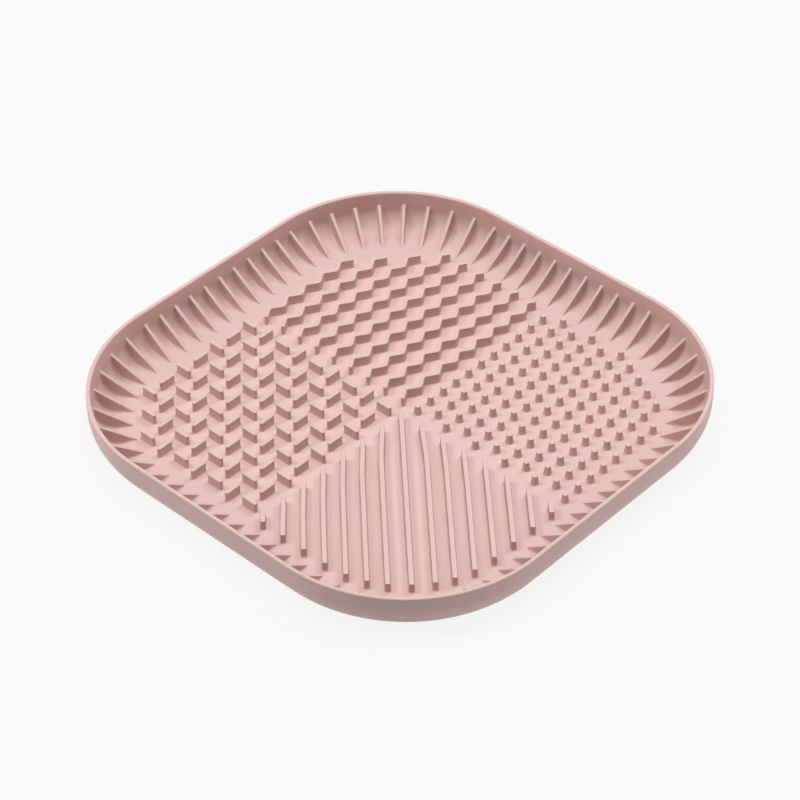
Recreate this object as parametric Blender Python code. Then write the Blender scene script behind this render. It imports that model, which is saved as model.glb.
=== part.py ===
"""Square lick bowl for pets, moulded in soft pale pink silicone.

A shallow dish with a rounded lip and a finned cove carries four lick textures, one on each quarter
of its floor: wavy ridges, round nubs, a weave of short bars and straight ridges. Lengths are in
metres and +Z is up. The origin is on the underside, below the middle of the floor.
"""

import math

import bmesh
import bpy

# Dish
SIDE = 0.254
CORNER_RADIUS = 0.077
HEIGHT = 0.023
WALL = 0.0028
FLOOR = 0.003
BASE_EDGE_RADIUS = 0.016
COVE_RADIUS = 0.0115
LIP_RISE = 0.0015
RIM_RUN = 0.022
SEAM = 0.0003

# Fins that bridge the cove
FIN_PITCH = 0.010
FIN_THICKNESS = 0.0016
FIN_DROP = 0.0005
FIN_RUN = 0.0213
FIN_ROOT = 0.0008

# Lick textures, all of one height
TEXTURE_HEIGHT = 0.0052
TEXTURE_INSET = 0.0242
TEXTURE_ROOT = 0.001

WAVE_COUNT = 9
WAVE_START = 0.0032
WAVE_MARGIN = 0.0084
WAVE_FIRST_TURN = 0.0022
WAVE_PERIOD = 0.01258
WAVE_SWING = 0.0037
WAVE_THICKNESS = 0.002
WAVE_CORNER = 0.066
WAVE_END_GAP = 0.0018

NUB_PITCH = 0.00913
NUB_START_X = 0.0077
NUB_START_Y = 0.0034
NUB_BASE_RADIUS = 0.00205
NUB_TOP_RADIUS = 0.00133

BAR_PITCH = 0.01123
BAR_START_X = 0.00465
BAR_START_Y = 0.0065
BAR_LENGTH = 0.0088
BAR_THICKNESS = 0.0022

RIDGE_COUNT = 15
RIDGE_START = 0.0045
RIDGE_SHORTEST = 0.0081
RIDGE_BASE_WIDTH = 0.0026
RIDGE_TOP_WIDTH = 0.0022

# Facets
CORNER_STEPS = 12
ARC_STEPS = 5
LIP_STEPS = 4
NUB_SIDES = 8
BAR_END_STEPS = 3
SHARP_EDGE = math.radians(35)

SILICONE_PINK = (0.80, 0.56, 0.525, 1.0)
SILICONE_ROUGHNESS = 0.55

# Plan signs of each quarter, seen from above with +Y away
WAVE_QUARTER = (-1, 1)
NUB_QUARTER = (1, 1)
BAR_QUARTER = (-1, -1)
RIDGE_QUARTER = (1, -1)


def silicone(name):
    """Matt pink silicone rubber, one material for each piece."""
    material = bpy.data.materials.new(name + "_silicone")
    material.use_nodes = True
    shader = material.node_tree.nodes["Principled BSDF"]
    shader.inputs["Base Color"].default_value = SILICONE_PINK
    shader.inputs["Roughness"].default_value = SILICONE_ROUGHNESS
    shader.inputs["Metallic"].default_value = 0.0
    material.diffuse_color = SILICONE_PINK
    return material


def piece(name, shape):
    """Turns a finished bmesh into an object of the scene, under the bowl's empty."""
    bmesh.ops.recalc_face_normals(shape, faces=shape.faces)
    mesh = bpy.data.meshes.new(name)
    shape.to_mesh(mesh)
    shape.free()
    mesh.shade_smooth()
    mesh.set_sharp_from_angle(angle=SHARP_EDGE)
    mesh.materials.append(silicone(name))
    made = bpy.data.objects.new(name, mesh)
    made.parent = bowl
    bpy.context.scene.collection.objects.link(made)
    return made


def mould_on(carrier, name, shape):
    """Unites the repeated shapes with the piece that carries them, which keeps one closed body."""
    tool = piece(name, shape)
    tool.hide_render = True
    tool.display_type = "WIRE"
    union = carrier.modifiers.new(name, "BOOLEAN")
    union.operation = "UNION"
    union.solver = "EXACT"
    union.object = tool


def arc(centre, radius, start, end, steps):
    """Points on a circle from one angle to another, both ends included."""
    angles = [start + (end - start) * step / steps for step in range(steps + 1)]
    return [(centre[0] + radius * math.cos(a), centre[1] + radius * math.sin(a)) for a in angles]


def outline(inset):
    """Plan of the dish drawn in by an inset: a square with round corners, counter-clockwise."""
    centre = SIDE / 2 - CORNER_RADIUS
    points = []
    for quarter, (x_sign, y_sign) in enumerate(((1, 1), (-1, 1), (-1, -1), (1, -1))):
        start = quarter * math.pi / 2
        corner = (x_sign * centre, y_sign * centre)
        points += arc(corner, CORNER_RADIUS - inset, start, start + math.pi / 2, CORNER_STEPS)
    return points


def inside(x, y, corner_radius):
    """Whether a plan point lies in the textured field, whose corners have this radius."""
    half = SIDE / 2 - TEXTURE_INSET
    over = (abs(x) - (half - corner_radius), abs(y) - (half - corner_radius))
    if min(over) > 0:
        return math.hypot(*over) <= corner_radius
    return max(over) <= corner_radius


def prism(shape, plan, low, high):
    """Adds an upright prism on a plan polygon."""
    floor = [shape.verts.new((x, y, low)) for x, y in plan]
    roof = [shape.verts.new((x, y, high)) for x, y in plan]
    shape.faces.new(floor)
    shape.faces.new(roof)
    bridge(shape, floor, roof)


def bridge(shape, first, second):
    """Adds the band of faces between two closed loops of as many points."""
    for k in range(len(first)):
        after = (k + 1) % len(first)
        shape.faces.new((first[k], first[after], second[after], second[k]))


# Rim: a wall with a rounded base edge and a cove, and a plain lip above it, lofted round the dish
def lip_foot():
    """Height of the seam between wall and lip, above the base edge and the fins."""
    return BASE_EDGE_RADIUS + LIP_RISE


def wall_section():
    """Section of the wall as (inset from the outer face, height), from the underside outwards."""
    top = lip_foot() - SEAM / 2
    section = [(RIM_RUN, 0.0)]
    section += arc((BASE_EDGE_RADIUS, BASE_EDGE_RADIUS), BASE_EDGE_RADIUS, -math.pi / 2, -math.pi, ARC_STEPS)
    section += [(0.0, top), (WALL, top)]
    section += arc((WALL + COVE_RADIUS, FLOOR + COVE_RADIUS), COVE_RADIUS, math.pi, 1.5 * math.pi, ARC_STEPS)
    section.append((RIM_RUN, FLOOR))
    return section


def lip_section():
    """Section of the lip, flat below and half round on top."""
    foot = lip_foot() + SEAM / 2
    crown = arc((WALL / 2, HEIGHT - WALL / 2), WALL / 2, math.pi, 0.0, LIP_STEPS)
    return [(WALL, foot), (0.0, foot)] + crown


def make_ring(name, section):
    shape = bmesh.new()
    loops = []
    for inset, height in section:
        loops.append([shape.verts.new((x, y, height)) for x, y in outline(inset)])
    for k, loop in enumerate(loops):
        bridge(shape, loop, loops[(k + 1) % len(loops)])
    return piece(name, shape)


# Fins: thin webs square to the wall, with a straight top edge from the wall down to the floor
def fin_stations():
    """Plan point on the outer face and inward direction of every fin, in order round the dish."""
    straight = SIDE - 2 * CORNER_RADIUS
    side_count = round(straight / FIN_PITCH)
    turn_count = round(math.pi / 2 * (CORNER_RADIUS - FIN_RUN) / FIN_PITCH)
    for quarter in range(4):
        turn = quarter * math.pi / 2
        places = [(0.0, -straight / 2 + straight * k / side_count) for k in range(side_count)]
        places += [(math.pi / 2 * k / turn_count, straight / 2) for k in range(turn_count)]
        for angle, along in places:
            local_x = straight / 2 + CORNER_RADIUS * math.cos(angle)
            local_y = along + CORNER_RADIUS * math.sin(angle)
            yield (
                local_x * math.cos(turn) - local_y * math.sin(turn),
                local_x * math.sin(turn) + local_y * math.cos(turn),
                turn + angle,
            )


def fin_profile():
    """Side view of a fin as (inset, height). Its lower edge is rooted just inside the cove's skin."""
    centre = (WALL + COVE_RADIUS, FLOOR + COVE_RADIUS)
    root = arc(centre, COVE_RADIUS + FIN_ROOT, 1.5 * math.pi, math.pi, ARC_STEPS)
    foot = [(FIN_RUN, FLOOR), (FIN_RUN - FIN_ROOT, FLOOR - FIN_ROOT)]
    return [(WALL / 2, lip_foot() - FIN_DROP)] + foot + root


def make_fins():
    shape = bmesh.new()
    for x, y, angle in fin_stations():
        outward = (math.cos(angle), math.sin(angle))
        faces = []
        for side in (-FIN_THICKNESS / 2, FIN_THICKNESS / 2):
            loop = []
            for inset, height in fin_profile():
                place_x = x - outward[0] * inset - outward[1] * side
                place_y = y - outward[1] * inset + outward[0] * side
                loop.append(shape.verts.new((place_x, place_y, height)))
            shape.faces.new(loop)
            faces.append(loop)
        bridge(shape, *faces)
    return shape


# Floor: four quarter panels inside the rim, each the ground of one texture
def make_panel(name, quarter):
    near = SEAM / 2
    half = SIDE / 2 - RIM_RUN - SEAM
    radius = CORNER_RADIUS - RIM_RUN - SEAM
    corner = (half - radius, half - radius)
    plan = [(near, near), (half, near)] + arc(corner, radius, 0.0, math.pi / 2, CORNER_STEPS) + [(near, half)]
    shape = bmesh.new()
    prism(shape, [(quarter[0] * x, quarter[1] * y) for x, y in plan], 0.0, FLOOR)
    return piece(name, shape)


# Nubs: round tapered pegs in staggered columns
def nub_places():
    reach = SIDE / 2 - TEXTURE_INSET
    column = 0
    x = NUB_START_X
    while x <= reach:
        y = NUB_START_Y + NUB_PITCH / 2 * (column % 2)
        while y <= reach:
            if inside(x, y, CORNER_RADIUS - TEXTURE_INSET):
                yield NUB_QUARTER[0] * x, NUB_QUARTER[1] * y
            y += NUB_PITCH
        column += 1
        x += NUB_PITCH


def make_nubs():
    shape = bmesh.new()
    root_radius = NUB_BASE_RADIUS + (NUB_BASE_RADIUS - NUB_TOP_RADIUS) * TEXTURE_ROOT / TEXTURE_HEIGHT
    for x, y in nub_places():
        loops = []
        for radius, height in ((root_radius, FLOOR - TEXTURE_ROOT), (NUB_TOP_RADIUS, FLOOR + TEXTURE_HEIGHT)):
            ring = arc((x, y), radius, 0.0, 2 * math.pi, NUB_SIDES)[:-1]
            loops.append([shape.verts.new((px, py, height)) for px, py in ring])
            shape.faces.new(loops[-1])
        bridge(shape, *loops)
    return shape


# Bars: short round-ended ribs, laid along X and along Y in turn like a basket weave
def bar_places():
    """Centre of each bar, and whether it lies along X."""
    reach = SIDE / 2 - TEXTURE_INSET
    count = math.floor((reach - BAR_START_X) / BAR_PITCH) + 1
    for column in range(count):
        for row in range(count):
            x = BAR_START_X + BAR_PITCH * column
            y = BAR_START_Y + BAR_PITCH * row
            if not inside(x, y, CORNER_RADIUS - TEXTURE_INSET):
                continue
            along_x = (column + row) % 2 == 0
            yield BAR_QUARTER[0] * x, BAR_QUARTER[1] * y, along_x


def make_bars():
    shape = bmesh.new()
    radius = BAR_THICKNESS / 2
    run = BAR_LENGTH / 2 - radius
    stadium = arc((run, 0.0), radius, -math.pi / 2, math.pi / 2, BAR_END_STEPS)
    stadium += arc((-run, 0.0), radius, math.pi / 2, 1.5 * math.pi, BAR_END_STEPS)
    for x, y, along_x in bar_places():
        plan = [(x + u, y + v) if along_x else (x - v, y + u) for u, v in stadium]
        prism(shape, plan, FLOOR - TEXTURE_ROOT, FLOOR + TEXTURE_HEIGHT)
    return shape


# Waves: continuous zigzag ridges that run along Y
def wave_turns(x):
    """How many whole waves fit between the middle of the dish and the edge of the field."""
    count = 0
    while inside(x, WAVE_FIRST_TURN + (count + 0.5) * WAVE_PERIOD, WAVE_CORNER):
        count += 1
    return count


def make_waves():
    reach = SIDE / 2 - TEXTURE_INSET
    pitch = (reach - WAVE_START - WAVE_MARGIN) / (WAVE_COUNT - 1)
    half_run = WAVE_PERIOD / 2
    sideways = WAVE_THICKNESS / 2 * math.hypot(WAVE_SWING, half_run) / half_run
    for number in range(WAVE_COUNT):
        middle = WAVE_START + pitch * number
        edges = ([], [])
        for turn in range(2 * wave_turns(middle) + 1):
            y = min(WAVE_FIRST_TURN + turn * half_run, reach - WAVE_END_GAP)
            after_turn = (y - WAVE_FIRST_TURN) / half_run % 2
            swing = WAVE_SWING * (0.5 - abs(1 - after_turn))
            for edge, offset in zip(edges, (-sideways, sideways)):
                edge.append((WAVE_QUARTER[0] * (middle + swing + offset), WAVE_QUARTER[1] * y))
        shape = bmesh.new()
        prism(shape, edges[0] + edges[1][::-1], FLOOR + SEAM, FLOOR + TEXTURE_HEIGHT)
        piece(f"wave_ridge_{number + 1:02d}", shape)


# Straight ridges: tapered bars on the diagonal, towards the corner of their quarter
def ridge_end(offset):
    """How far along the diagonal a ridge runs, at this offset from the middle one."""
    half = SIDE / 2 - TEXTURE_INSET
    radius = CORNER_RADIUS - TEXTURE_INSET
    if abs(offset) < radius / math.sqrt(2):
        return (half - radius) * math.sqrt(2) + math.sqrt(radius**2 - offset**2)
    return half * math.sqrt(2) - abs(offset)


def make_straight_ridges():
    half = SIDE / 2 - TEXTURE_INSET
    side_count = RIDGE_COUNT // 2
    pitch = ((half - RIDGE_START) * math.sqrt(2) - RIDGE_SHORTEST) / 2 / side_count
    section = [(-RIDGE_BASE_WIDTH / 2, FLOOR + SEAM), (RIDGE_BASE_WIDTH / 2, FLOOR + SEAM)]
    section += [(RIDGE_TOP_WIDTH / 2, FLOOR + TEXTURE_HEIGHT), (-RIDGE_TOP_WIDTH / 2, FLOOR + TEXTURE_HEIGHT)]
    diagonal = math.sqrt(0.5)
    for number in range(-side_count, side_count + 1):
        offset = pitch * number
        shape = bmesh.new()
        loops = []
        for along in (RIDGE_START * math.sqrt(2) + abs(offset), ridge_end(offset)):
            loop = []
            for across, height in section:
                x = (along + offset + across) * diagonal
                y = (along - offset - across) * diagonal
                loop.append(shape.verts.new((RIDGE_QUARTER[0] * x, RIDGE_QUARTER[1] * y, height)))
            shape.faces.new(loop)
            loops.append(loop)
        bridge(shape, *loops)
        piece(f"straight_ridge_{number + side_count + 1:02d}", shape)


for old in list(bpy.data.objects):
    bpy.data.objects.remove(old, do_unlink=True)

bowl = bpy.data.objects.new("lick_bowl", None)
bpy.context.scene.collection.objects.link(bowl)

mould_on(make_ring("rim_wall", wall_section()), "fin_moulds", make_fins())
make_ring("rim_lip", lip_section())
mould_on(make_panel("nub_panel", NUB_QUARTER), "nub_moulds", make_nubs())
mould_on(make_panel("weave_panel", BAR_QUARTER), "bar_moulds", make_bars())
make_panel("wave_panel", WAVE_QUARTER)
make_waves()
make_panel("ridge_panel", RIDGE_QUARTER)
make_straight_ridges()
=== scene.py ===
import math

import bmesh
import bpy
from mathutils import Matrix, Vector


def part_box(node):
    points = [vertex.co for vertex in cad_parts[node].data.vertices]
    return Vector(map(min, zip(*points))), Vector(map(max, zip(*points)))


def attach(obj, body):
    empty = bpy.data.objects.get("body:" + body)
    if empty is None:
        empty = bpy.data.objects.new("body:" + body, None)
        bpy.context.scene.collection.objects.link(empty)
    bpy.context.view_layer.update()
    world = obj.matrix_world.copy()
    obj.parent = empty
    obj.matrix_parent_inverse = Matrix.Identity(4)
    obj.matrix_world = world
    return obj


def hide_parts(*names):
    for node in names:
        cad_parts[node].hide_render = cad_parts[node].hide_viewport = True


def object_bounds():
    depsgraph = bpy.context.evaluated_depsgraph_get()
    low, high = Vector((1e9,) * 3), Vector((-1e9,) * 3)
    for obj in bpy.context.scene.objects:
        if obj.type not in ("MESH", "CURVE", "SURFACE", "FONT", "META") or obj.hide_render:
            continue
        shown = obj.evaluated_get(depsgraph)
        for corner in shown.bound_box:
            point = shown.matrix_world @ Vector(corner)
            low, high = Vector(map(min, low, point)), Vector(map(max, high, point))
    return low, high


# Looks of a square lick bowl for pets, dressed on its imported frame. Lengths are in metres, +Z is up.
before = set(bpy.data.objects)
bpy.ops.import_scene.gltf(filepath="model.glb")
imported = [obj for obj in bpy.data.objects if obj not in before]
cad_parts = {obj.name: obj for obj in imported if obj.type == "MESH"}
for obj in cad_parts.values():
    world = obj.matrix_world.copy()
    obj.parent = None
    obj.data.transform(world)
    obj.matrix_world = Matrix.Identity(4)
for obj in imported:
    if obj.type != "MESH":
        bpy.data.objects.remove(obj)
cad_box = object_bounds()

# Dish shell
# One shot of soft silicone rubber, pressed hot in a two-part mould. The flat floor turns up
# in a wide cove to a thin upright wall, which ends in a smoothly rounded lip.
SIDE = cad_box[1][0] - cad_box[0][0]
HEIGHT = cad_box[1][2]
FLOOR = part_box("wave_panel")[1].z
CORNER_RADIUS = 0.077
WALL = 0.0028
BASE_EDGE_RADIUS = 0.016
COVE_RADIUS = 0.0115
LIP_WIDTH = 0.0021
LIP_OUTER_RADIUS = 0.0007
LIP_INNER_RADIUS = 0.0009

# Points of the mesh: a loop close below the lip holds its shading, and rings fill floor and underside
LIP_HOLD = 0.0004
CORNER_STEPS = 36
SIDE_STEPS = 24
SHELL_ARC_STEPS = 18
LIP_STEPS = 6
FLOOR_RINGS = (0.80, 0.60, 0.40, 0.20)

# Painted shade at the foot of the cove, and how far it fades out over the floor
COVE_PAINTED_SHADE = 0.7
PAINTED_SHADE_FADE = 0.034

# Skin of the silicone, which all pieces share: pigment, a painted highlight on tops and the lip, painted
# shade in roots and the cove, surface and the glow just under it
SILICONE_PINK = (0.80, 0.56, 0.525, 1.0)
SHELL_CLOUD = 0.05
SHELL_MATT = 0.52
CLOUD_SCALE = 28.0
CLOUD_DETAIL = 3.0
PAINTED_HIGHLIGHT_LIFT = 0.02
PAINTED_SHADE_DROP = 0.145
HANDLING_SCALE = 60.0
HANDLING_SWING = 0.12
FINE_GRAIN_SCALE = 2600.0
COARSE_GRAIN_SCALE = 420.0
COARSE_GRAIN_SHARE = 0.8
GRAIN_DETAIL = 2.0
GRAIN_STRENGTH = 0.12
GRAIN_DEPTH = 0.0001
NOISE_MIDDLE = 0.5
SILICONE_IOR = 1.41
GLOW_WEIGHT = 0.04
GLOW_RADIUS = (1.0, 0.45, 0.35)
GLOW_DEPTH = 0.0012


def socket(group, name, way, kind, value=None):
    """Named input or output of a shader node group."""
    made = group.interface.new_socket(name=name, in_out=way, socket_type=kind)
    if value is not None:
        made.default_value = value


def skin_with_painted_light():
    """Moulded skin: cloudy pigment, a painted highlight on rib tops and the lip, painted shade in roots and
    the cove, and a fine matt grain.
    """
    group = bpy.data.node_groups.new("skin_with_painted_light", "ShaderNodeTree")
    socket(group, "Pink", "INPUT", "NodeSocketColor", SILICONE_PINK)
    socket(group, "Cloud", "INPUT", "NodeSocketFloat", SHELL_CLOUD)
    socket(group, "Matt", "INPUT", "NodeSocketFloat", SHELL_MATT)
    socket(group, "Color", "OUTPUT", "NodeSocketColor")
    socket(group, "Roughness", "OUTPUT", "NodeSocketFloat")
    socket(group, "Grain", "OUTPUT", "NodeSocketFloat")
    nodes, links = group.nodes, group.links
    given = nodes.new("NodeGroupInput")
    out = nodes.new("NodeGroupOutput")
    place = nodes.new("ShaderNodeTexCoord")

    def noise(scale, detail):
        made = nodes.new("ShaderNodeTexNoise")
        made.inputs["Scale"].default_value = scale
        made.inputs["Detail"].default_value = detail
        links.new(place.outputs["Object"], made.inputs["Vector"])
        return made.outputs["Fac"]

    def maths(kind, first, second):
        made = nodes.new("ShaderNodeMath")
        made.operation = kind
        for end, value in zip(made.inputs, (first, second)):
            if isinstance(value, float):
                end.default_value = value
            else:
                links.new(value, end)
        return made.outputs["Value"]

    def mask(name):
        made = nodes.new("ShaderNodeAttribute")
        made.attribute_name = name
        return made.outputs["Fac"]

    clouds = maths("SUBTRACT", noise(CLOUD_SCALE, CLOUD_DETAIL), NOISE_MIDDLE)
    shade = maths("ADD", maths("MULTIPLY", clouds, given.outputs["Cloud"]), 1.0)
    # Painted highlight lightens rib tops and the lip; painted shade darkens roots, the sides of ribs and
    # fins, and the cove
    shade = maths("ADD", shade, maths("MULTIPLY", mask("painted_top_highlight"), PAINTED_HIGHLIGHT_LIFT))
    shade = maths("SUBTRACT", shade, maths("MULTIPLY", mask("painted_root_shade"), PAINTED_SHADE_DROP))
    tint = nodes.new("ShaderNodeVectorMath")
    tint.operation = "SCALE"
    links.new(given.outputs["Pink"], tint.inputs["Vector"])
    links.new(shade, tint.inputs["Scale"])
    links.new(tint.outputs["Vector"], out.inputs["Color"])

    handling = maths("SUBTRACT", noise(HANDLING_SCALE, GRAIN_DETAIL), NOISE_MIDDLE)
    handling = maths("MULTIPLY", handling, HANDLING_SWING)
    links.new(maths("ADD", given.outputs["Matt"], handling), out.inputs["Roughness"])
    coarse = maths("MULTIPLY", noise(COARSE_GRAIN_SCALE, GRAIN_DETAIL), COARSE_GRAIN_SHARE)
    grain = maths("ADD", noise(FINE_GRAIN_SCALE, GRAIN_DETAIL), coarse)
    links.new(grain, out.inputs["Grain"])
    return group


SKIN_WITH_PAINTED_LIGHT = skin_with_painted_light()


def silicone(name, cloud, matt):
    """Silicone rubber of one piece: the shared skin with its painted highlight and shade, over a slightly
    translucent body.
    """
    material = bpy.data.materials.new(name)
    material.use_nodes = True
    nodes, links = material.node_tree.nodes, material.node_tree.links
    shader = nodes["Principled BSDF"]
    skin = nodes.new("ShaderNodeGroup")
    skin.node_tree = SKIN_WITH_PAINTED_LIGHT
    skin.inputs["Pink"].default_value = SILICONE_PINK
    skin.inputs["Cloud"].default_value = cloud
    skin.inputs["Matt"].default_value = matt
    bump = nodes.new("ShaderNodeBump")
    bump.inputs["Strength"].default_value = GRAIN_STRENGTH
    bump.inputs["Distance"].default_value = GRAIN_DEPTH
    links.new(skin.outputs["Grain"], bump.inputs["Height"])
    links.new(skin.outputs["Color"], shader.inputs["Base Color"])
    links.new(skin.outputs["Roughness"], shader.inputs["Roughness"])
    links.new(bump.outputs["Normal"], shader.inputs["Normal"])
    shader.inputs["IOR"].default_value = SILICONE_IOR
    shader.inputs["Subsurface Weight"].default_value = GLOW_WEIGHT
    shader.inputs["Subsurface Radius"].default_value = GLOW_RADIUS
    shader.inputs["Subsurface Scale"].default_value = GLOW_DEPTH
    return material


def arc(centre, radius, start, end, steps):
    """Points on a circle from one angle to another, both ends included."""
    angles = [start + (end - start) * step / steps for step in range(steps + 1)]
    return [(centre[0] + radius * math.cos(a), centre[1] + radius * math.sin(a)) for a in angles]


def dish_outline(inset):
    """Plan of the dish drawn in by an inset, counter-clockwise, with points along its straight sides."""
    middle = SIDE / 2 - CORNER_RADIUS
    points = []
    for quarter in range(4):
        turn = Matrix.Rotation(quarter * math.pi / 2, 2)
        along = [middle * (2 * k / SIDE_STEPS - 1) for k in range(SIDE_STEPS)]
        side = [(SIDE / 2 - inset, y) for y in along]
        corner = arc((middle, middle), CORNER_RADIUS - inset, 0.0, math.pi / 2, CORNER_STEPS)[:-1]
        points += [tuple(turn @ Vector(p)) for p in side + corner]
    return points


def bridge(shape, first, second):
    """Band of faces between two closed loops with the same number of points."""
    for k in range(len(first)):
        after = (k + 1) % len(first)
        shape.faces.new((first[k], first[after], second[after], second[k]))


def masks(shape):
    """Float layers for the skin: how much painted highlight a point gets, and how much painted shade."""
    return shape.verts.layers.float.new("painted_top_highlight"), shape.verts.layers.float.new("painted_root_shade")


def add_piece(name, shape, material, *nodes):
    """Turns a closed bmesh into a piece of the bowl that stands for these nodes."""
    bmesh.ops.recalc_face_normals(shape, faces=shape.faces)
    mesh = bpy.data.meshes.new(name)
    shape.to_mesh(mesh)
    shape.free()
    mesh.shade_smooth()
    mesh.materials.append(material)
    piece = bpy.data.objects.new(name, mesh)
    bpy.context.scene.collection.objects.link(piece)
    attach(piece, "root")
    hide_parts(*nodes)


def cove_arc():
    """Section of the cove as (inset, height), from the foot of the wall to the floor."""
    centre = (WALL + COVE_RADIUS, FLOOR + COVE_RADIUS)
    return arc(centre, COVE_RADIUS, math.pi, 1.5 * math.pi, SHELL_ARC_STEPS)


def cove_painted_shade(inset):
    """Painted shade of the inner skin: it grows down the cove and fades out over the floor."""
    past = max(inset - WALL, 0.0)
    if past < COVE_RADIUS:
        return COVE_PAINTED_SHADE * math.acos(1 - past / COVE_RADIUS) / (math.pi / 2)
    return COVE_PAINTED_SHADE * max(1 - (past - COVE_RADIUS) / PAINTED_SHADE_FADE, 0.0)


def shell_section():
    """Section of the wall as (inset, height, painted highlight, painted shade), from underside to floor."""
    base_centre = (BASE_EDGE_RADIUS, BASE_EDGE_RADIUS)
    outer_centre = (LIP_OUTER_RADIUS, HEIGHT - LIP_OUTER_RADIUS)
    inner_centre = (LIP_WIDTH - LIP_INNER_RADIUS, HEIGHT - LIP_INNER_RADIUS)
    base = arc(base_centre, BASE_EDGE_RADIUS, -math.pi / 2, -math.pi, SHELL_ARC_STEPS)
    base.append((0.0, outer_centre[1] - LIP_HOLD))
    lip = arc(outer_centre, LIP_OUTER_RADIUS, math.pi, math.pi / 2, LIP_STEPS)
    lip_inside = arc(inner_centre, LIP_INNER_RADIUS, math.pi / 2, 0.0, LIP_STEPS)
    inside = [(LIP_WIDTH, inner_centre[1] - LIP_HOLD)] + cove_arc()
    inside.append((WALL + COVE_RADIUS + PAINTED_SHADE_FADE, FLOOR))
    section = [(inset, height, 0.0, 0.0) for inset, height in base]
    # Painted highlight over the lip, fading down its inner side
    section += [(inset, height, 1.0, 0.0) for inset, height in lip]
    for step, (inset, height) in enumerate(lip_inside):
        section.append((inset, height, 1 - step / LIP_STEPS, 0.0))
    # Painted shade grows down the cove and fades out over the floor
    section += [(inset, height, 0.0, cove_painted_shade(inset)) for inset, height in inside]
    return section


def make_shell():
    """Dish as one closed skin: its section carried round the plan, underside and floor filled in rings."""
    shape = bmesh.new()
    painted_top_highlight, painted_root_shade = masks(shape)
    loops = []
    for inset, height, highlight, root_shade in shell_section():
        loop = [shape.verts.new((x, y, height)) for x, y in dish_outline(inset)]
        # Each loop takes its section's painted highlight and painted shade
        for vert in loop:
            vert[painted_top_highlight] = highlight
            vert[painted_root_shade] = root_shade
        loops.append(loop)
    for first, second in zip(loops, loops[1:]):
        bridge(shape, first, second)
    for border in (loops[0], loops[-1]):
        edge = border
        for share in FLOOR_RINGS:
            ring = [shape.verts.new((v.co.x * share, v.co.y * share, v.co.z)) for v in border]
            bridge(shape, edge, ring)
            edge = ring
        hub = shape.verts.new((0.0, 0.0, border[0].co.z))
        for k, vert in enumerate(edge):
            shape.faces.new((vert, edge[(k + 1) % len(edge)], hub))
    return shape


add_piece(
    "dish_shell", make_shell(), silicone("shell_silicone", SHELL_CLOUD, SHELL_MATT),
    "rim_wall", "rim_lip", "wave_panel", "nub_panel", "weave_panel", "ridge_panel",
)

# Cove fins
# Thin upright webs of the same rubber, moulded square to the wall all round the dish. Each has
# a straight top edge that slopes from the wall to the floor, and a small fillet at its root.
FIN_SIDE_GAPS = 10
FIN_CORNER_GAPS = 9
FIN_TOP_WIDTH = 0.0017
FIN_ROOT_WIDTH = 0.0020
FIN_FULL_RISE = 0.005
FIN_FILLET = 0.0011
FIN_EDGE_RADIUS = 0.0003
# Share of the painted shade kept on a fin's top edge
FIN_TOP_PAINTED_SHADE = 0.2
TEXTURE_CLOUD = 0.04
TEXTURE_MATT = 0.50

# Ends of a fin's top edge as (inset, height)
FIN_TOP = (0.0014, 0.0170)
FIN_FOOT = (0.0213, FLOOR)

# How far the fins have slid along the rim at the start and end of each side, from the +X side round
FIN_SLIDES = ((-0.0001, -0.0015), (-0.0006, -0.0002), (-0.0026, -0.0021), (0.0014, 0.0002))

# Fillet and edge shrink with the height of a fin toward its ends, which are sunk into the skin
FIN_FILLET_SHARE = 0.5
FIN_EDGE_SHARE = 0.3
FIN_LEAST_RADIUS = 0.00003
FIN_LEAST_RISE = 0.00012
FIN_BURIED = 0.0006
FIN_SKIRT = 0.0003
FIN_SINK = 0.00008
FIN_ARC_STEPS = 4
FIN_WALL_STEPS = 4
FIN_FLOOR_STEPS = 6


def fin_places():
    """Plan point on the outer face and outward direction of every fin, in order round the dish."""
    middle = SIDE / 2 - CORNER_RADIUS
    for quarter in range(4):
        turn = quarter * math.pi / 2
        spin = Matrix.Rotation(turn, 2)
        slide_start, slide_end = FIN_SLIDES[quarter]
        next_start = FIN_SLIDES[(quarter + 1) % 4][0]
        for k in range(FIN_SIDE_GAPS):
            share = k / FIN_SIDE_GAPS
            slide = slide_start + (slide_end - slide_start) * share
            yield spin @ Vector((SIDE / 2, middle * (2 * share - 1) + slide)), turn
        for k in range(FIN_CORNER_GAPS):
            share = k / FIN_CORNER_GAPS
            slide = slide_end + (next_start - slide_end) * share
            angle = math.pi / 2 * share + slide / CORNER_RADIUS
            bow = CORNER_RADIUS * Vector((math.cos(angle), math.sin(angle)))
            yield spin @ (Vector((middle, middle)) + bow), turn + angle


def fin_stations():
    """Root point and skin normal of a fin's sections: down the wall, round the cove, along the floor."""
    cove_foot, cove_top = WALL + COVE_RADIUS, FLOOR + COVE_RADIUS
    lean = (WALL - LIP_WIDTH) / (HEIGHT - LIP_INNER_RADIUS - LIP_HOLD - cove_top)
    for k in range(FIN_WALL_STEPS):
        over = (FIN_TOP[1] - cove_top) * (1 - k / FIN_WALL_STEPS)
        yield Vector((WALL - lean * over, cove_top + over)), Vector((1, 0))
    for point in cove_arc():
        yield Vector(point), (Vector((cove_foot, cove_top)) - Vector(point)).normalized()
    last = FIN_FOOT[0] + FIN_BURIED
    for k in range(1, FIN_FLOOR_STEPS + 1):
        inset = cove_foot + (last - cove_foot) * k / FIN_FLOOR_STEPS
        yield Vector((inset, FLOOR)), Vector((0, 1))


def fin_rise(root, normal):
    """How far the straight top edge of a fin lies over the skin at a root point."""
    top = Vector(FIN_TOP)
    slope = Vector(FIN_FOOT) - top
    return (top - root).cross(slope) / normal.cross(slope)


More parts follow.
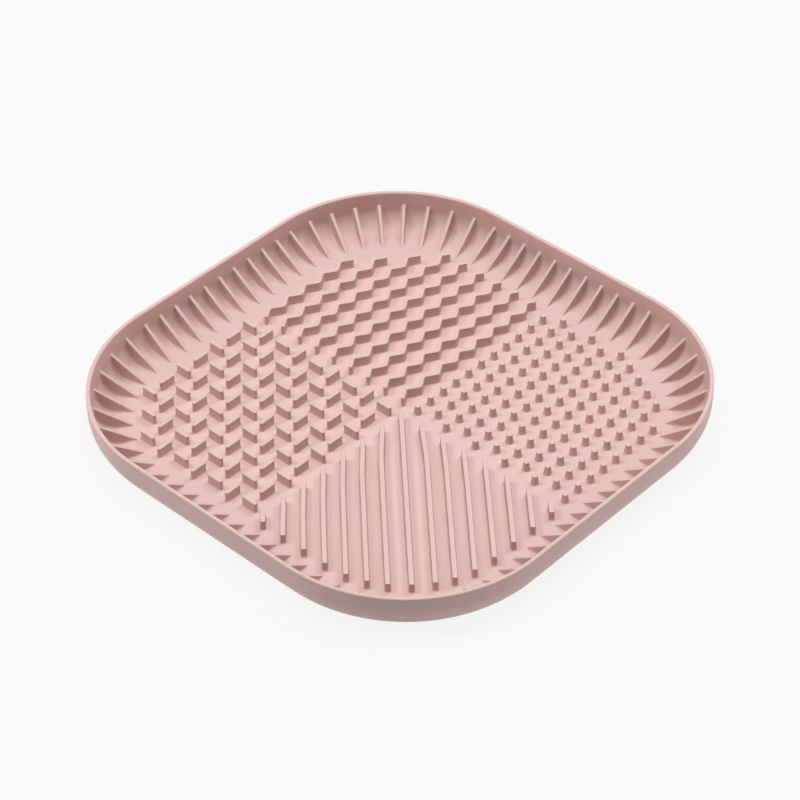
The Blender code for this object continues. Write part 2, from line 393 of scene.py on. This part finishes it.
def fin_section(rise, skin_painted_shade):
    """Half section of a fin as (half width, height over the skin, painted shade), from skirt to top."""
    fillet = max(min(FIN_FILLET, FIN_FILLET_SHARE * rise), FIN_LEAST_RADIUS)
    edge = max(min(FIN_EDGE_RADIUS, FIN_EDGE_SHARE * rise), FIN_LEAST_RADIUS)
    foot = min(rise - FIN_LEAST_RISE, 0.0)
    spread = min(max(rise / FIN_FULL_RISE, 0.0), 1.0)
    root_half = (FIN_TOP_WIDTH + (FIN_ROOT_WIDTH - FIN_TOP_WIDTH) * spread) / 2
    points = [(root_half + fillet + FIN_SKIRT, foot - FIN_SINK, skin_painted_shade)]
    # Painted shade grows from the skin's up the fillet, is full on the sides and eases to a trace on the
    # top edge
    root_arc = arc((root_half + fillet, foot + fillet), fillet, 1.5 * math.pi, math.pi, FIN_ARC_STEPS)
    for step, (half, height) in enumerate(root_arc):
        points.append((half, height, skin_painted_shade + (1 - skin_painted_shade) * step / FIN_ARC_STEPS))
    top_arc = arc((FIN_TOP_WIDTH / 2 - edge, rise - edge), edge, 0.0, math.pi / 2, FIN_ARC_STEPS)
    for step, (half, height) in enumerate(top_arc):
        points.append((half, height, 1 - (1 - FIN_TOP_PAINTED_SHADE) * step / FIN_ARC_STEPS))
    return points


def make_fins():
    """All fins as closed webs, each a row of sections square to the skin it stands on."""
    shape = bmesh.new()
    painted_root_shade = masks(shape)[1]
    for place, angle in fin_places():
        outward = Vector((math.cos(angle), math.sin(angle)))
        across = Vector((-outward.y, outward.x))
        loops = []
        for root, normal in fin_stations():
            half = fin_section(fin_rise(root, normal), cove_painted_shade(root.x))
            whole = [(-width, rise, root_shade) for width, rise, root_shade in half] + half[::-1]
            loop = []
            for width, rise, root_shade in whole:
                inset, height = root + normal * rise
                plan = place - outward * inset + across * width
                vert = shape.verts.new((plan.x, plan.y, height))
                # Painted shade of the fin's section
                vert[painted_root_shade] = root_shade
                loop.append(vert)
            loops.append(loop)
        for first, second in zip(loops, loops[1:]):
            bridge(shape, first, second)
        shape.faces.new(loops[0])
        shape.faces.new(loops[-1])
    return shape


add_piece("cove_fins", make_fins(), silicone("fin_silicone", TEXTURE_CLOUD, TEXTURE_MATT), "rim_wall")

# Wave ridges
# Nine zigzag ribs on the far quarter of the floor, moulded with it. Their sides stand upright,
# their bends are eased by the radius of the mould's cutter, and their ends are round.
WAVE_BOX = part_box("wave_ridge_01")
TEXTURE_TOP = WAVE_BOX[1].z
WAVE_FIRST_TURN = WAVE_BOX[0].y
WAVE_END = WAVE_BOX[1].y
WAVE_START = 0.0027
WAVE_PITCH = 0.0114
WAVE_PERIOD = 0.01258
WAVE_SWING = 0.0040
WAVE_BEND_RADIUS = 0.0015
WAVE_WIDTH = 0.0020
WAVE_STEP = 0.00042
WAVE_WELD = 0.000001

# Zigzags of each wave, from the middle of the dish outward
WAVE_TURNS = (8, 8, 8, 8, 8, 8, 7, 6, 5)

# Fillet, top edge and draft of the ribs, painted shade on their fillets and sides, and a skirt that sinks
# their roots into the floor
RIB_FILLET = 0.0004
RIB_EDGE_RADIUS = 0.00025
RIB_DRAFT = 0.0001
RIB_PAINTED_SHADE = 0.7
RIB_TOP_RING = 0.00015
RIB_SKIRT = 0.00008
RIB_SINK = 0.000016
RIB_ARC_STEPS = 4


def rib_levels(draft, fillet, edge, top=TEXTURE_TOP, painted_shade=RIB_PAINTED_SHADE):
    """Levels of a moulded rib as (growth of its plan, height, painted highlight, painted shade), skirt to
    top.
    """
    levels = [(fillet + RIB_SKIRT, FLOOR - RIB_SINK, 0.0, 0.0)]
    root_arc = arc((fillet, FLOOR + fillet), fillet, 1.5 * math.pi, math.pi, RIB_ARC_STEPS)
    for step, (grow, height) in enumerate(root_arc):
        levels.append((grow, height, 0.0, painted_shade * step / RIB_ARC_STEPS))
    top_arc = arc((-draft - edge, top - edge), edge, 0.0, math.pi / 2, RIB_ARC_STEPS)
    for step, (grow, height) in enumerate(top_arc):
        levels.append((grow, height, step / RIB_ARC_STEPS, painted_shade * (1 - step / RIB_ARC_STEPS)))
    levels.append((-draft - edge - RIB_TOP_RING, top, 1.0, 0.0))
    return levels


def plan_inset(x, y):
    """How far a plan point lies inside the outer face of the dish."""
    middle = SIDE / 2 - CORNER_RADIUS
    over = (abs(x) - middle, abs(y) - middle)
    return CORNER_RADIUS - (math.hypot(*over) if min(over) > 0 else max(over))


def rib_points(shape, layers, plan, height, highlight, root_shade):
    """Points of a rib at one level; the floor's painted shade is carried up the rib except where its top is
    lightened.
    """
    painted_top_highlight, painted_root_shade = layers
    points = [shape.verts.new((x, y, height)) for x, y in plan]
    for vert in points:
        floor_painted_shade = cove_painted_shade(plan_inset(vert.co.x, vert.co.y))
        vert[painted_top_highlight] = highlight
        vert[painted_root_shade] = max(root_shade, floor_painted_shade * (1 - highlight))
    return points


def rib_sides(line, half, corner, grow):
    """Left and right outline of a rib along a plan line, with round corners at both ends."""
    sides = ([], [])
    ends = (line[0], line[-1])
    line = [p for p in line if p in ends or min((p - end).length for end in ends) > corner]
    final = len(line) - 1
    reach = half + grow
    bend = corner + grow
    turns = [math.pi / 2 * step / RIB_ARC_STEPS for step in range(RIB_ARC_STEPS + 1)]
    for k, point in enumerate(line):
        ahead = (line[min(k + 1, final)] - line[max(k - 1, 0)]).normalized()
        left = Vector((-ahead.y, ahead.x))
        if k in (0, final):
            away = -ahead if k == 0 else ahead
            for angle in turns[::-1] if k == 0 else turns:
                centre = point - away * corner
                offset = away * bend * math.sin(angle)
                width = reach - bend + bend * math.cos(angle)
                sides[0].append(centre + offset + left * width)
                sides[1].append(centre + offset - left * width)
        else:
            sides[0].append(point + left * reach)
            sides[1].append(point - left * reach)
    return sides


def add_rib(shape, layers, line, half, corner, levels):
    """Closed rib on a plan line, its top and buried foot closed by strips of quads."""
    loops = []
    for grow, height, highlight, root_shade in levels:
        sides = rib_sides(line, half, corner, grow)
        loops.append([rib_points(shape, layers, side, height, highlight, root_shade) for side in sides])
    for lower, upper in zip(loops, loops[1:]):
        bridge(shape, lower[0] + lower[1][::-1], upper[0] + upper[1][::-1])
    for left, right in (loops[0], loops[-1]):
        for k in range(len(left) - 1):
            shape.faces.new((left[k], left[k + 1], right[k + 1], right[k]))


def wave_line(number):
    """Middle line of a wave: a zigzag along Y with eased bends."""
    middle = WAVE_START + WAVE_PITCH * number
    run = WAVE_PERIOD / 2
    lean = math.atan2(WAVE_SWING, run)
    bend_run = WAVE_BEND_RADIUS * math.sin(lean)
    end = min(WAVE_FIRST_TURN + WAVE_TURNS[number] * WAVE_PERIOD, WAVE_END)
    count = round((end - WAVE_FIRST_TURN) / WAVE_STEP)
    line = []
    for k in range(count + 1):
        along = (end - WAVE_FIRST_TURN) * k / count
        turn = round(along / run)
        past = abs(along - turn * run)
        inward = past * math.tan(lean)
        if past < bend_run:
            inward = WAVE_BEND_RADIUS / math.cos(lean) - math.sqrt(WAVE_BEND_RADIUS**2 - past**2)
        swing = (WAVE_SWING / 2 - inward) * (1 if turn % 2 == 0 else -1)
        line.append(Vector((-middle + swing, WAVE_FIRST_TURN + along)))
    return line


def make_waves():
    """All waves as closed ribs, whose two sides are welded where they meet at the round ends."""
    shape = bmesh.new()
    layers = masks(shape)
    levels = rib_levels(RIB_DRAFT, RIB_FILLET, RIB_EDGE_RADIUS)
    for number in range(len(WAVE_TURNS)):
        add_rib(shape, layers, wave_line(number), WAVE_WIDTH / 2, WAVE_WIDTH / 2, levels)
    bmesh.ops.remove_doubles(shape, verts=shape.verts, dist=WAVE_WELD)
    return shape


add_piece(
    "wave_ridges", make_waves(), silicone("wave_silicone", TEXTURE_CLOUD, TEXTURE_MATT),
    *[f"wave_ridge_{number + 1:02d}" for number in range(len(WAVE_TURNS))],
)

# Nubs
# Round tapered pegs in staggered columns on the right quarter, moulded with the floor. They draw
# cleanly from the mould because of their taper, and a fillet joins each to the floor.
NUB_PITCH = 0.00913
NUB_START = (0.0077, 0.0037)
NUB_STAGGER = 0.5
NUB_BASE_RADIUS = 0.0020
NUB_TOP_RADIUS = 0.0014
NUB_FILLET = 0.0003
NUB_EDGE_RADIUS = 0.00025
NUB_SIDES = 24
NUB_TOP = 0.0078

# The fields of nubs, bars and straight ridges end this far inside the outer face
FIELD_INSET = 0.0242


def nub_places():
    """Plan points of the nubs: every second column is staggered along Y, and the field ends at the cove."""
    count = round((SIDE / 2 - FIELD_INSET) / NUB_PITCH)
    for column in range(count):
        x = NUB_START[0] + NUB_PITCH * column
        for row in range(count):
            y = NUB_START[1] + NUB_PITCH * (row + NUB_STAGGER * (column % 2))
            if plan_inset(x, y) >= FIELD_INSET:
                yield x, y


def make_nubs():
    """All nubs as closed pegs."""
    shape = bmesh.new()
    layers = masks(shape)
    levels = rib_levels(NUB_BASE_RADIUS - NUB_TOP_RADIUS, NUB_FILLET, NUB_EDGE_RADIUS, NUB_TOP)
    for x, y in nub_places():
        loops = []
        for grow, height, highlight, root_shade in levels:
            ring = arc((x, y), NUB_BASE_RADIUS + grow, 0.0, 2 * math.pi, NUB_SIDES)[:-1]
            loops.append(rib_points(shape, layers, ring, height, highlight, root_shade))
        for lower, upper in zip(loops, loops[1:]):
            bridge(shape, lower, upper)
        shape.faces.new(loops[0])
        shape.faces.new(loops[-1])
    return shape


add_piece("lick_nubs", make_nubs(), silicone("nub_silicone", TEXTURE_CLOUD, TEXTURE_MATT), "nub_panel")

# Weave bars
# Short upright bars with round ends on the left quarter, laid along X and along Y in turn like
# a basket weave. Each is moulded with the floor and joins it in a small fillet.
BAR_PITCH = 0.01123
BAR_START = (0.00465, 0.0065)
BAR_LENGTH = 0.0091
BAR_WIDTH = 0.0022
BAR_END_RADIUS = 0.00105
BAR_STEPS = 4


def bar_lines():
    """Plan lines of the bars, which lie along X and along Y in turn in both directions of the field."""
    reach = SIDE / 2 - FIELD_INSET
    count = math.floor((reach - BAR_START[0]) / BAR_PITCH) + 1
    for column in range(count):
        for row in range(count):
            middle = Vector((-BAR_START[0] - BAR_PITCH * column, -BAR_START[1] - BAR_PITCH * row))
            if plan_inset(*middle) < FIELD_INSET:
                continue
            along = Vector((1, 0)) if (column + row) % 2 == 0 else Vector((0, 1))
            half_bar = along * BAR_LENGTH / 2
            yield [middle + half_bar * (2 * k / BAR_STEPS - 1) for k in range(BAR_STEPS + 1)]


def make_bars():
    """All bars as closed ribs."""
    shape = bmesh.new()
    layers = masks(shape)
    levels = rib_levels(RIB_DRAFT, RIB_FILLET, RIB_EDGE_RADIUS)
    for line in bar_lines():
        add_rib(shape, layers, line, BAR_WIDTH / 2, BAR_END_RADIUS, levels)
    return shape


add_piece("weave_bars", make_bars(), silicone("bar_silicone", TEXTURE_CLOUD, TEXTURE_MATT), "weave_panel")

# Straight ridges
# Fifteen ribs on the near quarter, along its diagonal from the middle of the dish to the corner,
# moulded with the floor. They stand nearly upright, wander a little to the side on their way
# outward, and have blunt ends with eased corners and wide fillets at the root.
RIDGE_COUNT = 15
RIDGE_PITCH = 0.00935
RIDGE_START = 0.0045
RIDGE_BASE_WIDTH = 0.0025
RIDGE_TOP_WIDTH = 0.0023
RIDGE_STEP = 0.004
RIDGE_END_RADIUS = 0.0006
RIDGE_FILLET = 0.0011
# Painted shade on the ridges' wide fillets and sides, stronger than on the other ribs
RIDGE_PAINTED_SHADE = 1.6

# Wander of the ridges beside the middle one, the run it grows over, and the share each next one keeps
RIDGE_PUSH = 0.0012
RIDGE_PUSH_RUN = 0.028
RIDGE_PUSH_KEPT_LEFT = 0.82
RIDGE_PUSH_KEPT_RIGHT = 0.55


def ridge_end(offset):
    """How far along the diagonal a ridge runs, at this offset from the middle one."""
    half = SIDE / 2 - FIELD_INSET
    radius = CORNER_RADIUS - FIELD_INSET
    if abs(offset) < radius / math.sqrt(2):
        return (half - radius) * math.sqrt(2) + math.sqrt(radius**2 - offset**2)
    return half * math.sqrt(2) - abs(offset)


def ridge_push(place, run):
    """How far a ridge wanders from its even place: it grows along the run and fades from ridge to ridge."""
    if place == 0:
        return 0.0
    side, kept = (1, RIDGE_PUSH_KEPT_RIGHT) if place > 0 else (-1, RIDGE_PUSH_KEPT_LEFT)
    grown = min(run / RIDGE_PUSH_RUN, 1.0)
    eased = grown * grown * (3 - 2 * grown)
    return side * RIDGE_PUSH * kept ** (abs(place) - 1) * eased


def make_straight_ridges():
    """All straight ridges as closed ribs."""
    shape = bmesh.new()
    layers = masks(shape)
    draft = (RIDGE_BASE_WIDTH - RIDGE_TOP_WIDTH) / 2
    levels = rib_levels(draft, RIDGE_FILLET, RIB_EDGE_RADIUS, painted_shade=RIDGE_PAINTED_SHADE)
    outward = Vector((1, -1)).normalized()
    across = Vector((1, 1)).normalized()
    for number in range(RIDGE_COUNT):
        place = number - RIDGE_COUNT // 2
        offset = RIDGE_PITCH * place
        start = RIDGE_START * math.sqrt(2) + abs(offset)
        end = ridge_end(offset)
        count = max(round((end - start) / RIDGE_STEP), 2)
        runs = [(end - start) * k / count for k in range(count + 1)]
        line = [outward * (start + run) + across * (offset + ridge_push(place, run)) for run in runs]
        add_rib(shape, layers, line, RIDGE_BASE_WIDTH / 2, RIDGE_END_RADIUS, levels)
    return shape


add_piece(
    "straight_ridges", make_straight_ridges(), silicone("ridge_silicone", TEXTURE_CLOUD, TEXTURE_MATT),
    *[f"straight_ridge_{number + 1:02d}" for number in range(RIDGE_COUNT)],
)

# Studio floor and light
# A plain pale paper sweep in a dim room. Three softboxes hang overhead, to the left and to the back
# right, and two low cards light the outer wall. Seen directly, sweep and room show one pale tone.
FLOOR_HALF = 4.0
FLOOR_WHITE = (0.82, 0.82, 0.82, 1.0)
BACKGROUND = (0.96, 0.96, 0.96, 1.0)
ROOM_STRENGTH = 0.02
SHADOW_SHARE = 0.08
LAMP_DISTANCE = 1.2
BOX_SIZE = (0.42, 0.42)
CARD_SIZE = (0.90, 0.09)

# Bearing of the picture's right from +X, from which lamps and camera are placed
AZIMUTH = math.radians(43.078)

# Name, watts, size, tilt from the zenith and bearing from the picture's right in degrees
LAMPS = (
    ("overhead_softbox", 6.3, BOX_SIZE, 0.0, 0.0),
    ("left_softbox", 4.7, BOX_SIZE, 33.0, 182.0),
    ("right_softbox", 4.5, BOX_SIZE, 33.0, 35.0),
    ("left_card", 2.6, CARD_SIZE, 87.5, 160.0),
    ("right_card", 2.1, CARD_SIZE, 87.5, -8.0),
)


def seen_directly(nodes, links):
    """Is this a ray from the camera, or one that glossy or clear surfaces pass on?"""
    path = nodes.new("ShaderNodeLightPath")
    total = path.outputs["Is Camera Ray"]
    for name in ("Is Glossy Ray", "Is Transmission Ray"):
        either = nodes.new("ShaderNodeMath")
        either.operation = "MAXIMUM"
        links.new(total, either.inputs[0])
        links.new(path.outputs[name], either.inputs[1])
        total = either.outputs["Value"]
    return total


def sweep_material():
    """Pale paper that bounces light, and shows the background's tone with a trace of shadow."""
    material = bpy.data.materials.new("studio_sweep")
    material.use_nodes = True
    nodes, links = material.node_tree.nodes, material.node_tree.links
    nodes.clear()
    paper = nodes.new("ShaderNodeBsdfDiffuse")
    paper.inputs["Color"].default_value = FLOOR_WHITE
    tone = nodes.new("ShaderNodeEmission")
    tone.inputs["Color"].default_value = BACKGROUND
    shadowed = nodes.new("ShaderNodeMixShader")
    shadowed.inputs["Fac"].default_value = SHADOW_SHARE
    links.new(tone.outputs["Emission"], shadowed.inputs[1])
    links.new(paper.outputs["BSDF"], shadowed.inputs[2])
    chosen = nodes.new("ShaderNodeMixShader")
    links.new(seen_directly(nodes, links), chosen.inputs["Fac"])
    links.new(paper.outputs["BSDF"], chosen.inputs[1])
    links.new(shadowed.outputs["Shader"], chosen.inputs[2])
    out = nodes.new("ShaderNodeOutputMaterial")
    links.new(chosen.outputs["Shader"], out.inputs["Surface"])
    return material


sweep_mesh = bpy.data.meshes.new("studio_floor")
sweep_plan = ((-1, -1), (1, -1), (1, 1), (-1, 1))
sweep_corners = [(FLOOR_HALF * x, FLOOR_HALF * y, 0.0) for x, y in sweep_plan]
sweep_mesh.from_pydata(sweep_corners, [], [(0, 1, 2, 3)])
sweep_mesh.materials.append(sweep_material())
sweep = bpy.data.objects.new("studio_floor", sweep_mesh)
bpy.context.scene.collection.objects.link(sweep)

world = bpy.data.worlds.new("studio_room")
bpy.context.scene.world = world
world.use_nodes = True
room_nodes, room_links = world.node_tree.nodes, world.node_tree.links
room_nodes.clear()
dim = room_nodes.new("ShaderNodeBackground")
dim.inputs["Strength"].default_value = ROOM_STRENGTH
pale = room_nodes.new("ShaderNodeBackground")
pale.inputs["Color"].default_value = BACKGROUND
pick = room_nodes.new("ShaderNodeMixShader")
room_links.new(seen_directly(room_nodes, room_links), pick.inputs["Fac"])
room_links.new(dim.outputs["Background"], pick.inputs[1])
room_links.new(pale.outputs["Background"], pick.inputs[2])
room_out = room_nodes.new("ShaderNodeOutputWorld")
room_links.new(pick.outputs["Shader"], room_out.inputs["Surface"])


def softbox(name, power, size, tilt, bearing):
    """Area light that faces the bowl, at a tilt from the zenith and a bearing from the picture's right."""
    tilt = math.radians(tilt)
    bearing = AZIMUTH + math.radians(bearing)
    level = Vector((math.cos(bearing), math.sin(bearing), 0.0))
    place = LAMP_DISTANCE * (math.sin(tilt) * level + Vector((0.0, 0.0, math.cos(tilt))))
    data = bpy.data.lights.new(name, "AREA")
    data.shape = "RECTANGLE"
    data.energy = power
    data.size, data.size_y = size
    lamp = bpy.data.objects.new(name, data)
    lamp.location = place
    lamp.rotation_euler = (-place).to_track_quat("-Z", "Y").to_euler()
    lamp.visible_camera = False
    bpy.context.scene.collection.objects.link(lamp)


for lamp_row in LAMPS:
    softbox(*lamp_row)
bpy.context.scene.view_settings.view_transform = "Standard"

# Camera
# It stands over the near corner of the dish and looks at the middle of the rim, with a long lens.
ELEVATION = math.radians(40.392)
ROLL = math.radians(-0.576)
DISTANCE = 1.33808
RIM_CENTRE = Vector((0.0, 0.0, HEIGHT))
SENSOR_WIDTH = 36.0
LENS = 127.99
SHIFT = (-0.0003, -0.0278)

toward = Vector((math.sin(AZIMUTH), -math.cos(AZIMUTH), 0.0))
back = toward * math.cos(ELEVATION) + Vector((0.0, 0.0, math.sin(ELEVATION)))
level = Vector((math.cos(AZIMUTH), math.sin(AZIMUTH), 0.0))
upward = back.cross(level)
right = level * math.cos(ROLL) + upward * math.sin(ROLL)
top = upward * math.cos(ROLL) - level * math.sin(ROLL)
camera_data = bpy.data.cameras.new("camera")
camera_data.sensor_width = SENSOR_WIDTH
camera_data.lens = LENS
camera_data.shift_x, camera_data.shift_y = SHIFT
camera = bpy.data.objects.new("camera", camera_data)
turned = Matrix((right, top, back)).transposed()
camera.matrix_world = Matrix.Translation(RIM_CENTRE + DISTANCE * back) @ turned.to_4x4()
bpy.context.scene.collection.objects.link(camera)
bpy.context.scene.camera = camera
